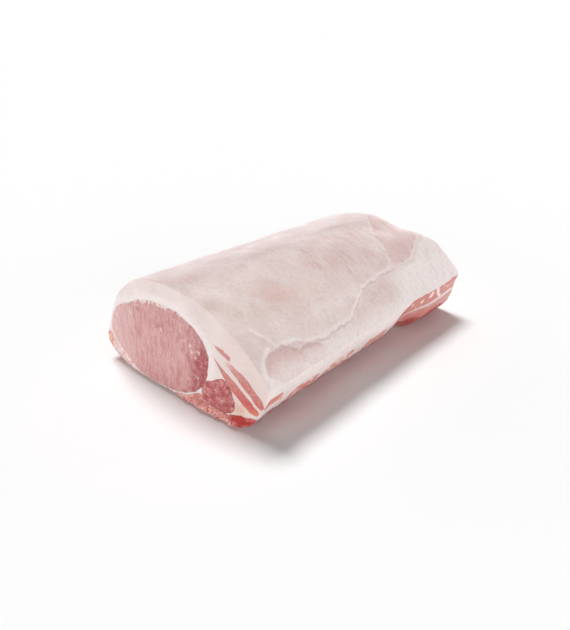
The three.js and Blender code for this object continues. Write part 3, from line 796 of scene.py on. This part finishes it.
# ---------------------------------------------------------------------------------------
# The underside's lean: the thin rib side, from which the ribs were lifted out. It is a
# ragged layer of finger meat between shallow grooves lined with pale membrane. It
# thickens below the side muscles and climbs the backbone side.
# ---------------------------------------------------------------------------------------

UNDERSIDE_THICKNESS, UNDERSIDE_HEEL, UNDERSIDE_BELLY = 2.3, 15.0, 5.0
STRIP_RISE = [                           # [place along X, rise of the layer's top]
    (-4, 0), (0, 1.3), (5, 2.7), (12, 5), (18, 8), (24, 11.5), (32, 11.5), (46, 7.5), (56, 6)]


def underside_top(x, y):
    """Height of the top of the underside's lean: a thin layer that rises at both sides,
    and between the eye and the dark muscle follows the eye's edge."""
    heel = UNDERSIDE_HEEL * np.clip((-58 - x) / 30, 0, 1) ** 1.4
    strip = along(STRIP_RISE, x)
    belly = UNDERSIDE_BELLY * ease(50, 68, x)
    sides = ease(10, 30, np.abs(x))
    ragged = 0.7 * lumps(x, y, 0, (5, 7, 1), 55) + 0.4 * lumps(x, y, 0, (2, 3, 1), 56)
    return UNDERSIDE_THICKNESS + heel + strip + belly + ragged * (0.3 + sides)


def below_top(name, rise):
    """Everything below the top of the underside's lean, as a slab wider than the loin."""
    side, end = HALF_WIDTH + 5, LENGTH / 2 + BED_PAST_CUT
    x = np.linspace(-side, side, 130)
    y = np.linspace(-end, end, 150)[:, None]
    top = np.stack(np.broadcast_arrays(x, y, underside_top(x, y) + rise), -1)
    base = np.array(top[:, [-1, 0]])
    base[:, :, 2] = -5
    return closed_piece(name, np.concatenate([top, base], 1))


underside = whole_loin("underside_lean_layer", 60)
slab, slab_bed = below_top("slab", 0), below_top("slab_bed", BED_GAP)
knife(underside, "INTERSECT", [slab])
knife(underside, "DIFFERENCE", [eye_bed, dark_bed] + streak_beds[:2])

# Where it shows at the cuts it is torn, not sliced: it stands proud there in soft lumps,
# which sink to the cut's level beside the two muscles.
x, y, z = points_of(underside)
side = np.sign(y)
torn = ease(RIM - 0.4, RIM + 0.3, np.abs(y)) * ease(-8, 6, x) * ease(70, 58, x)
proud = 1.5 + 1.5 * lumps(x, side, z, (6, 1, 5), 58) + 0.9 * lumps(x, side, z, 2.4, 59)
proud = np.clip(proud, 0, 3.6) * ease(0, 4.5, underside_top(x, y) - z)
for muscle in (EYE, DARK):
    proud *= ease(-0.5, 4.0, edge_gap(muscle, DARK["around"], -1, x, z, raggedness=0))
underside.data.vertices.foreach_set(
    "co", (np.stack([x, y + side * torn * proud, z], -1) * MM).astype(np.float32).ravel())
underside.data.update()

near_face, far_face = ease(-121, -123, y), ease(121, 123, y)
bottom = ease(4.5, 2.5, z - rib_groove(x, y))
grooves = ease(13, 8, from_rib(x, y)) * ease(70, 60, np.abs(x))
below_eye = ease(30, -10, np.abs(x + 20)) * (1 - near_face)
corner = hump(0, 10, np.hypot(x - 63, (z - 9) * 1.3)) * near_face
heel = ease(-62, -72, x) * ease(-90, -118, y) * ease(2, 6, z)
far_foot = ease(58, 68, x) * ease(40, 60, y)
beside_dark = near_face * ease(16, 28, x) * ease(4, 9, z)
lower_edge = ease(9, 3, z) * ease(60, 48, x) * ease(-30, -2, x)
paint(underside, "membrane", bottom * (grooves + 0.35 * below_eye))
paint(underside, "redness", (0.95 + 0.5 * lumps(x, y, z, 2.4, 60)) * corner + 0.7 * heel
      + 0.6 * far_foot + 0.45 * beside_dark + 0.3 * lumps(x, y, z, (6, 9, 4), 57))
paint(underside, "globules", near_face * np.maximum(lower_edge, hump(0, 9, np.hypot(x - 2, z - 3))))
paint(underside, "torn", near_face + far_face)

# Raw finger meat: short coarse fibres across the loin, deep pink to red, under a bluish
# white membrane in the rib grooves, with grains of fat along its ragged edge whose centres carry
# a painted highlight. Where it is torn it is shreds of three tones with pale strands between them.
rib_lean = blank(bpy.data.materials, "raw_pork_rib_side_lean")
place = add(rib_lean, "TexCoord").outputs["Object"]
marks = {key: add(rib_lean, "Attribute", attribute_name=key).outputs["Fac"]
         for key in ("membrane", "redness", "globules", "torn")}
stretched = add(rib_lean, "Mapping", {
    "Vector": place, "Rotation": (0, 0, 0.35), "Scale": (1 / (9 * MM), 1 / (1.8 * MM), 1 / (2.2 * MM))})
thread = add(rib_lean, "TexNoise", {"Vector": stretched, "Scale": 1.0, "Detail": 3.0})
shred = add(rib_lean, "TexNoise", {
    "Vector": place, "Scale": 1 / (3.2 * MM), "Detail": 3.0, "Distortion": 1.6})
strand = add(rib_lean, "Math", {0: shred, 1: 0.45}, operation="SUBTRACT")
strand = add(rib_lean, "Math", {0: strand}, operation="ABSOLUTE")
patchy = add(rib_lean, "TexNoise", {"Vector": place, "Scale": 1 / (12 * MM), "Detail": 4.0})
grains = add(rib_lean, "TexVoronoi", {"Vector": place, "Scale": 1 / (3 * MM)})
shares = {}
for key, value, start, end, least, most in (
        ("thread", thread, 0.35, 0.65, 0, 1), ("mid", shred, 0.42, 0.50, 0, 1),
        ("pale", shred, 0.55, 0.61, 0, 1), ("strand", strand, 0.025, 0.0, 0, 0.9),
        ("film", patchy, 0.35, 0.6, 0.3, 0.85), ("globule", grains, 0.36, 0.24, 0, 0.9),
        ("globule_glint", grains, 0.22, 0.1, 0, 0.8)):
    shares[key] = add(rib_lean, "MapRange", {
        "Value": value, "From Min": start, "From Max": end, "To Min": least, "To Max": most})
shredded = linear("#bc5154")
for share, code in (
        (shares["mid"], "#e7a09c"), (shares["pale"], "#f0cfc4"), (shares["strand"], "#f3d3cb")):
    shredded = add(rib_lean, "MixRGB", {"Fac": share, "Color1": shredded, "Color2": linear(code)})
colour = add(rib_lean, "MixRGB", {
    "Fac": shares["thread"], "Color1": linear("#a54c4c"), "Color2": linear("#cf8d89")})
colour = add(rib_lean, "MixRGB", {"Fac": marks["torn"], "Color1": colour, "Color2": shredded})
for mark, strength, code in (
        ("redness", 0.9, "#b5332c"), ("membrane", shares["film"], "#e6cdca"),
        # The second globules entry is a painted highlight: near-white centres on the grains of fat.
        ("globules", shares["globule"], "#f1b795"), ("globules", shares["globule_glint"], "#faeadf")):
    share = add(rib_lean, "Math", {0: marks[mark], 1: strength}, operation="MULTIPLY", use_clamp=True)
    colour = add(rib_lean, "MixRGB", {"Fac": share, "Color1": colour, "Color2": linear(code)})
grain = add(rib_lean, "Bump", {"Height": shred, "Strength": 0.9, "Distance": 1.2 * MM})
shader = add(rib_lean, "BsdfPrincipled", {
    "Base Color": colour, "Roughness": 0.3, "Normal": grain, "IOR": 1.38,
    "Subsurface Weight": 0.15, "Subsurface Radius": (1.0, 0.35, 0.25), "Subsurface Scale": 1 * MM})
add(rib_lean, "OutputMaterial", {"Surface": shader})
finish_piece(underside, rib_lean, "underside_lean")

# ---------------------------------------------------------------------------------------
# Back fat: firm white fat, trimmed of its rind. It wraps the muscles, fills the seams
# between them, and carries the knife's marks: a shaved patch near the far cut, a ragged
# step along the belly side, a fold and a ridge near the near cut, and shallow scoops.
# ---------------------------------------------------------------------------------------

CORE_HEIGHT = 28.0                       # the loin's core, about which angles are measured

# Soft ovals of colour on the fat: strength, place along Y, arc, half sizes along and
# across, and turn.
STRIATED = [(1.0, 18, 38, 46, 34, 0), (0.6, 66, 22, 24, 20, 0)]
PINK_BAND = [(0.25, -26, 30, 9, 22, -0.25)]
# Partly painted shade: these two ovals tint the ridge beside the near cut pinker and darker, also to
# tone down the lamp's light on it.
PINK_NEAR = [(0.35, -121, -4, 5, 16, 0), (0.45, -104, 6, 14, 9, 0)]
TAN_STAINS = [
    (0.55, -117, 14, 4, 9, 0), (0.6, -118, 40, 5, 9, 0.2), (0.75, -63, 14, 2.4, 7, 0.1),
    (0.5, -110, 52, 9, 12, 0.3), (0.4, -92, 60, 16, 12, 0), (0.5, 78, 0, 6, 14, 0),
    (0.5, -40, -48, 16, 9, 0.3), (0.4, 62, -66, 12, 8, -0.4),
]
PEACH_STAINS = [
    (0.5, -70, 46, 17, 13, 0.5), (0.45, -56, 57, 12, 9, 0), (0.3, -64, 60, 26, 14, 0.3),
    (0.3, -38, 60, 12, 9, 0),
]
WHITE_BAND = [(0.5, -30, 78, 30, 8, 0)]

fat = whole_loin("fat_cover", 27)
knife(fat, "DIFFERENCE", [slab_bed, eye_bed, dark_bed] + streak_beds)


def skin_arc(x, y, z):
    """Arc length from the crown of the skin beside each point: looked up by its place
    along the loin and its angle about the loin's core, between table rows and columns."""
    table_y = np.linspace(-RIM, RIM, 124)
    ring_x, ring_z, ring_arc = loin_sections(spread_turns(), table_y)
    table_angle = np.radians(np.linspace(-180, 180, 721))
    rows = []
    for row in range(len(table_y)):
        angle = np.arctan2(ring_x[row], ring_z[row] - CORE_HEIGHT)
        order = np.argsort(angle)
        rows.append(np.interp(table_angle, angle[order], ring_arc[row][order]))
    table = np.array(rows)
    angle = np.arctan2(x, z - CORE_HEIGHT)
    column = np.clip((angle + np.pi) / (2 * np.pi) * 720, 0, 719.999)
    row = np.clip((y + RIM) / (2 * RIM) * (len(table_y) - 1), 0, len(table_y) - 1.001)
    r, c = row.astype(int), column.astype(int)
    fr, fc = row - r, column - c
    return ((table[r, c] * (1 - fc) + table[r, c + 1] * fc) * (1 - fr)
            + (table[r + 1, c] * (1 - fc) + table[r + 1, c + 1] * fc) * fr)


def smears(arc, y, ovals):
    """Adds up soft ovals with a wavering rim: each its strength in its middle, eased to
    0 at its rim."""
    wave = 0.28 * lumps(arc, y, 0, (9, 7, 1), 90) + 0.14 * lumps(arc, y, 0, (3, 3, 1), 91)
    total = np.zeros(len(arc))
    for strength, place, middle, half_length, half_width, turn in ovals:
        down, across = y - place, arc - middle
        cos, sin = math.cos(turn), math.sin(turn)
        reach = np.hypot((down * cos + across * sin) / half_length,
                         (across * cos - down * sin) / half_width)
        total += strength * ease(1.25, 0.25, reach + wave)
    return total


x, y, z = points_of(fat)
arc = skin_arc(x, y, z)
on_face = ease(RIM - 0.6, RIM + 0.05, np.abs(y))
back = 1 - on_face
near_face = on_face * (y < 0)
from_eye = eye_gap(x, y, z, on_face > 0)
past = beyond_step(arc, y)
patch, peel = far_patch(arc, y)
over = ease(5, -15, arc)                 # the backbone side, over the crown
mottled = 0.6 * lumps(arc, y + 0.3 * arc, 0, (15, 24, 1), 93) + 0.4 * lumps(arc, y, 0, (6, 9, 1), 95)
far_flank = ease(107, 111, arc) * ease(42, 52, y)
striated = smears(arc, y, STRIATED)
striae = ease(0.2, 0.5, np.abs(lumps(arc, y + 0.2 * arc, 0, (16, 3, 1), 92)))

pink = (0.40 + 0.35 * striae) * striated + 0.75 * patch + smears(arc, y, PINK_BAND)
pink += 0.2 * ease(0, 2, past) * ease(22, 6, past) * ease(112, 100, arc) * ease(60, 20, y)
pink += 0.3 * ease(1.05, 0.8, scoop_reach(arc, y, SCOOPS["faint"]))
# The first term is painted shade: the top near the far cut is pinker and darker where it rounds over
# away from the light.
pink += 0.5 * ease(96, 116, y) * ease(60, 20, arc) + 0.35 * over * ease(-0.6, 0.9, mottled)
pink += smears(arc, y, PINK_NEAR) + 0.9 * far_flank

white = 0.9 * ease(92, 106, arc) * ease(150, 112, arc)
# Painted highlight: the white just above the step's edge, on the near half here and on the far half two
# lines below, is the light that its lip catches.
white += 0.85 * hump(-1.3, 1.5, past) * ease(-104, -90, y) * ease(66, 40, y)
white += 0.6 * hump(1.6, 1.2, past) * ease(-114, -100, y) * ease(70, 60, y)
white += 0.9 * hump(-0.7, 0.9, past) * ease(52, 64, y)
white += 0.15 * hump(-0.8, 0.9, peel) * ease(48, 58, y) * ease(4, 14, arc) * ease(1, -2, past)
# Of the next line, the second term whitens the fat below the step on the far half. This is partly its
# own colour and partly painted light against the shade of the relief there.
white += 0.9 * ease(40, 80, y) * ease(76, 98, arc) + 0.85 * ease(25, 50, y) * ease(1, 6, past)
# The fold and the ridge are whiter along their crests, partly white fat and partly painted highlight.
# The crease is less white along its bottom, as painted shade.
for path, strength, half_width in ((FOLD_PATH, 1.1, 1.0), (RIDGE_PATH, 1.1, 1.7),
                                   (CREASE_PATH, -0.5, 0.9)):
    white += strength * hump(0, half_width, from_path(arc, y, path))
white += smears(arc, y, WHITE_BAND) + 0.4 * over * ease(0.3, -0.9, mottled)
white *= 1 - 0.75 * far_flank

rim_line = hump(0, 0.8, from_eye - 5.2 - 1.4 * np.sin(x / 9))
face_white = 0.35 + 0.65 * ease(6.5, 2.5, from_eye) + 0.4 * rim_line
# Painted shade: the fat over the crown and down the backbone side is darkened towards a grey pink, to
# tone down the lamp's light where it falls most directly.
crown_shade = 0.9 * ease(30, -20, arc) * (1 - 0.5 * ease(-25, -60, arc))
dish = np.minimum(scoop_reach(arc, y, SCOOPS["near"]), scoop_reach(arc, y, SCOOPS["next"]) + 0.1)
heel = ease(-74, -79, x) * ease(27, 20, z) * ease(7, 10, z) * ease(-105, -121, y)
low_rim = ease(16, 9, z - 10 * ease(-50, -75, x)) * ease(12, -4, x)
fat_marks = dict(
    pink=back * np.clip(pink, 0, 1.2),
    tan=back * np.clip(smears(arc, y, TAN_STAINS), 0, 1),
    peach=back * np.clip(smears(arc, y, PEACH_STAINS), 0, 1) + 0.45 * near_face * ease(34, 60, x),
    white=np.clip(back * white + on_face * face_white, 0, 1),
    crown_shade=back * crown_shade,
    arc=arc * MM,
    step=np.clip(past, -8, 8),
    stepped=back * ease(-107, -97, y) * ease(66, 30, y),
    dish=np.clip(dish, 0, 3) + 3 * on_face,
    outside=0.15 + 0.85 * back,
    heel=heel,
    low_rim=near_face * low_rim,
    pearl=near_face * hump(0, 3.8, np.hypot(x - 61.5, (z - 15) * 0.7)))
for key, values in fat_marks.items():
    paint(fat, key, values)

# Fresh pork back fat: dense and waxy with faint pink patches, smooth where the knife drew across it.
# Light sinks in further than in lean, and it keeps a soft satin gloss. Scrape lines follow the arc.
# The top over the crown is darkened as painted shade. The step's edge is crisp, with a painted
# highlight on its lip and a painted shadow line below it.
fat_finish = blank(bpy.data.materials, "fresh_pork_back_fat")
place = add(fat_finish, "TexCoord").outputs["Object"]
marks = {key: add(fat_finish, "Attribute", attribute_name=key).outputs["Fac"] for key in fat_marks}
split = add(fat_finish, "SeparateXYZ", {"Vector": place})
slanted = add(fat_finish, "Math", {0: marks["arc"], 1: 0.2, 2: split.outputs["Y"]},
              operation="MULTIPLY_ADD")
on_skin = add(fat_finish, "CombineXYZ", {"X": marks["arc"], "Y": slanted})
scrape = add(fat_finish, "Mapping", {"Vector": on_skin, "Scale": (1 / (18 * MM), 1 / (1.5 * MM), 1)})
scrape = add(fat_finish, "TexNoise", {"Vector": scrape, "Scale": 1.0, "Detail": 3.0})
cloud = add(fat_finish, "TexNoise", {
    "Vector": place, "Scale": 1 / (22 * MM), "Detail": 4.0, "Roughness": 0.6})
fine = add(fat_finish, "TexNoise", {"Vector": place, "Scale": 1 / (2.5 * MM), "Detail": 3.0})
gap = add(fat_finish, "Math", {0: fine, 1: 3.4, 2: marks["step"]}, operation="MULTIPLY_ADD")
gap = add(fat_finish, "Math", {0: gap, 1: 1.7}, operation="SUBTRACT")
shares = {}
for key, value, start, end, least, most in (
        ("cloud", cloud, 0.35, 0.68, 0, 1), ("streaky", scrape, 0.36, 0.66, 0.15, 1.15),
        ("dished", marks["dish"], 1.02, 0.95, 0, 1), ("rosy", marks["dish"], 0.95, 0.3, 0.85, 0.4),
        ("speckled", fine, 0.52, 0.72, 0, 0.35), ("milky", fine, 0.46, 0.30, 0, 0.22),
        ("ledge", gap, -0.1, 0.5, 1.0, 0.0), ("shadow", gap, 1.5, 0.4, 0, 1.0),
        ("shreds", fine, 0.44, 0.68, 0.1, 0.75), ("clots", fine, 0.35, 0.65, 0.3, 1.0),
        ("bloody", fine, 0.38, 0.58, 0, 1), ("satin", cloud, 0.3, 0.7, 0.36, 0.5)):
    shares[key] = add(fat_finish, "MapRange", {
        "Value": value, "From Min": start, "From Max": end, "To Min": least, "To Max": most})
# Painted shadow: a darker pink-brown line just below the step's ragged edge, where its lip would shade
# the fat.
step_shadow_line = add(fat_finish, "Math", {0: shares["shadow"], 1: shares["ledge"]}, operation="SUBTRACT",
             use_clamp=True)
step_shadow_line = add(fat_finish, "Math", {0: step_shadow_line, 1: marks["stepped"]}, operation="MULTIPLY")
heel_colour = add(fat_finish, "MixRGB", {
    "Fac": shares["bloody"], "Color1": linear("#ecd0b0"), "Color2": linear("#cf6650")})
colour = linear("#dac7c3")
for value, strength, code in (
        (shares["cloud"], 1, "#e5d6d2"), (marks["crown_shade"], 1, "#bca6a4"),
        (marks["pink"], shares["streaky"], "#cfa9a7"), (shares["dished"], shares["rosy"], "#d2aca7"),
        (marks["tan"], 0.5, "#c4a994"), (marks["peach"], 0.5, "#d8ae9e"),
        (marks["white"], 0.8, "#eee4e2"), (shares["speckled"], marks["outside"], "#cdaeab"),
        (shares["milky"], 1, "#f1e6e2"), (step_shadow_line, 0.5, "#c48f88"),
        (marks["low_rim"], shares["shreds"], "#cd7264"), (marks["pearl"], shares["clots"], "#dc9c74")):
    share = add(fat_finish, "Math", {0: value, 1: strength}, operation="MULTIPLY", use_clamp=True)
    colour = add(fat_finish, "MixRGB", {"Fac": share, "Color1": colour, "Color2": linear(code)})
colour = add(fat_finish, "MixRGB", {"Fac": marks["heel"], "Color1": colour, "Color2": heel_colour})
ledge = add(fat_finish, "Math", {0: shares["ledge"], 1: marks["stepped"]}, operation="MULTIPLY")
height = add(fat_finish, "Math", {0: scrape, 1: 0.6, 2: fine}, operation="MULTIPLY_ADD")
height = add(fat_finish, "Math", {0: ledge, 1: 0.9, 2: height}, operation="MULTIPLY_ADD")
height = add(fat_finish, "Math", {0: shares["dished"], 1: -1.2, 2: height}, operation="MULTIPLY_ADD")
grain = add(fat_finish, "Bump", {"Height": height, "Strength": 0.35, "Distance": 0.5 * MM})
shader = add(fat_finish, "BsdfPrincipled", {
    "Base Color": colour, "Roughness": shares["satin"], "Normal": grain, "IOR": 1.45,
    "Subsurface Weight": 0.25, "Subsurface Radius": (1.0, 0.6, 0.5), "Subsurface Scale": 2.5 * MM})
add(fat_finish, "OutputMaterial", {"Surface": shader})
finish_piece(fat, fat_finish, "back_fat")

for helper in (skin, eye_bed, dark_bed, slab, slab_bed, *streak_beds):
    bpy.data.objects.remove(helper)

# ---------------------------------------------------------------------------------------
# Table and light: a plain white surface in a bright studio. Its walls light the cut face
# and the flank evenly, and one large soft lamp, high behind the left, throws the shadow
# towards the belly side.
# ---------------------------------------------------------------------------------------

FLOOR_HALF = 8.0
WALL_LIGHT, CEILING_LIGHT = 3.1, 0.12
LAMP_STRENGTH, LAMP_SPREAD = 2.55, 24.0
LAMP_DIRECTION = (0.41, -0.15, -0.90)      # the way the light travels

floor_mesh = bpy.data.meshes.new("floor")
floor_mesh.from_pydata([(-FLOOR_HALF, -FLOOR_HALF, 0), (FLOOR_HALF, -FLOOR_HALF, 0),
                        (FLOOR_HALF, FLOOR_HALF, 0), (-FLOOR_HALF, FLOOR_HALF, 0)], [],
                       [(0, 1, 2, 3)])
floor = bpy.data.objects.new("floor", floor_mesh)
bpy.context.scene.collection.objects.link(floor)
board = blank(bpy.data.materials, "matt_white_board")
shader = add(board, "BsdfDiffuse", {"Color": linear("#f8f8f8")})
add(board, "OutputMaterial", {"Surface": shader})
floor_mesh.materials.append(board)

studio = blank(bpy.data.worlds, "studio")
sky = add(studio, "TexCoord").outputs["Generated"]
sky = add(studio, "SeparateXYZ", {"Vector": sky})
level = add(studio, "MapRange", {
    "Value": sky.outputs["Z"], "From Min": 0.10, "From Max": 0.42, "To Min": WALL_LIGHT,
    "To Max": CEILING_LIGHT}, interpolation_type="SMOOTHSTEP")
glow = add(studio, "Background", {"Color": (1, 1, 1, 1), "Strength": level})
add(studio, "OutputWorld", {"Surface": glow})
bpy.context.scene.world = studio

lamp = bpy.data.lights.new("lamp", "SUN")
lamp.energy, lamp.angle = LAMP_STRENGTH, math.radians(LAMP_SPREAD)
lamp_object = bpy.data.objects.new("lamp", lamp)
across, down = math.hypot(LAMP_DIRECTION[0], LAMP_DIRECTION[1]), -LAMP_DIRECTION[2]
lamp_object.rotation_euler = (
    math.atan2(across, down), 0, math.atan2(LAMP_DIRECTION[1], LAMP_DIRECTION[0]) - math.pi / 2)
bpy.context.scene.collection.objects.link(lamp_object)
bpy.context.scene.view_settings.view_transform = "Standard"
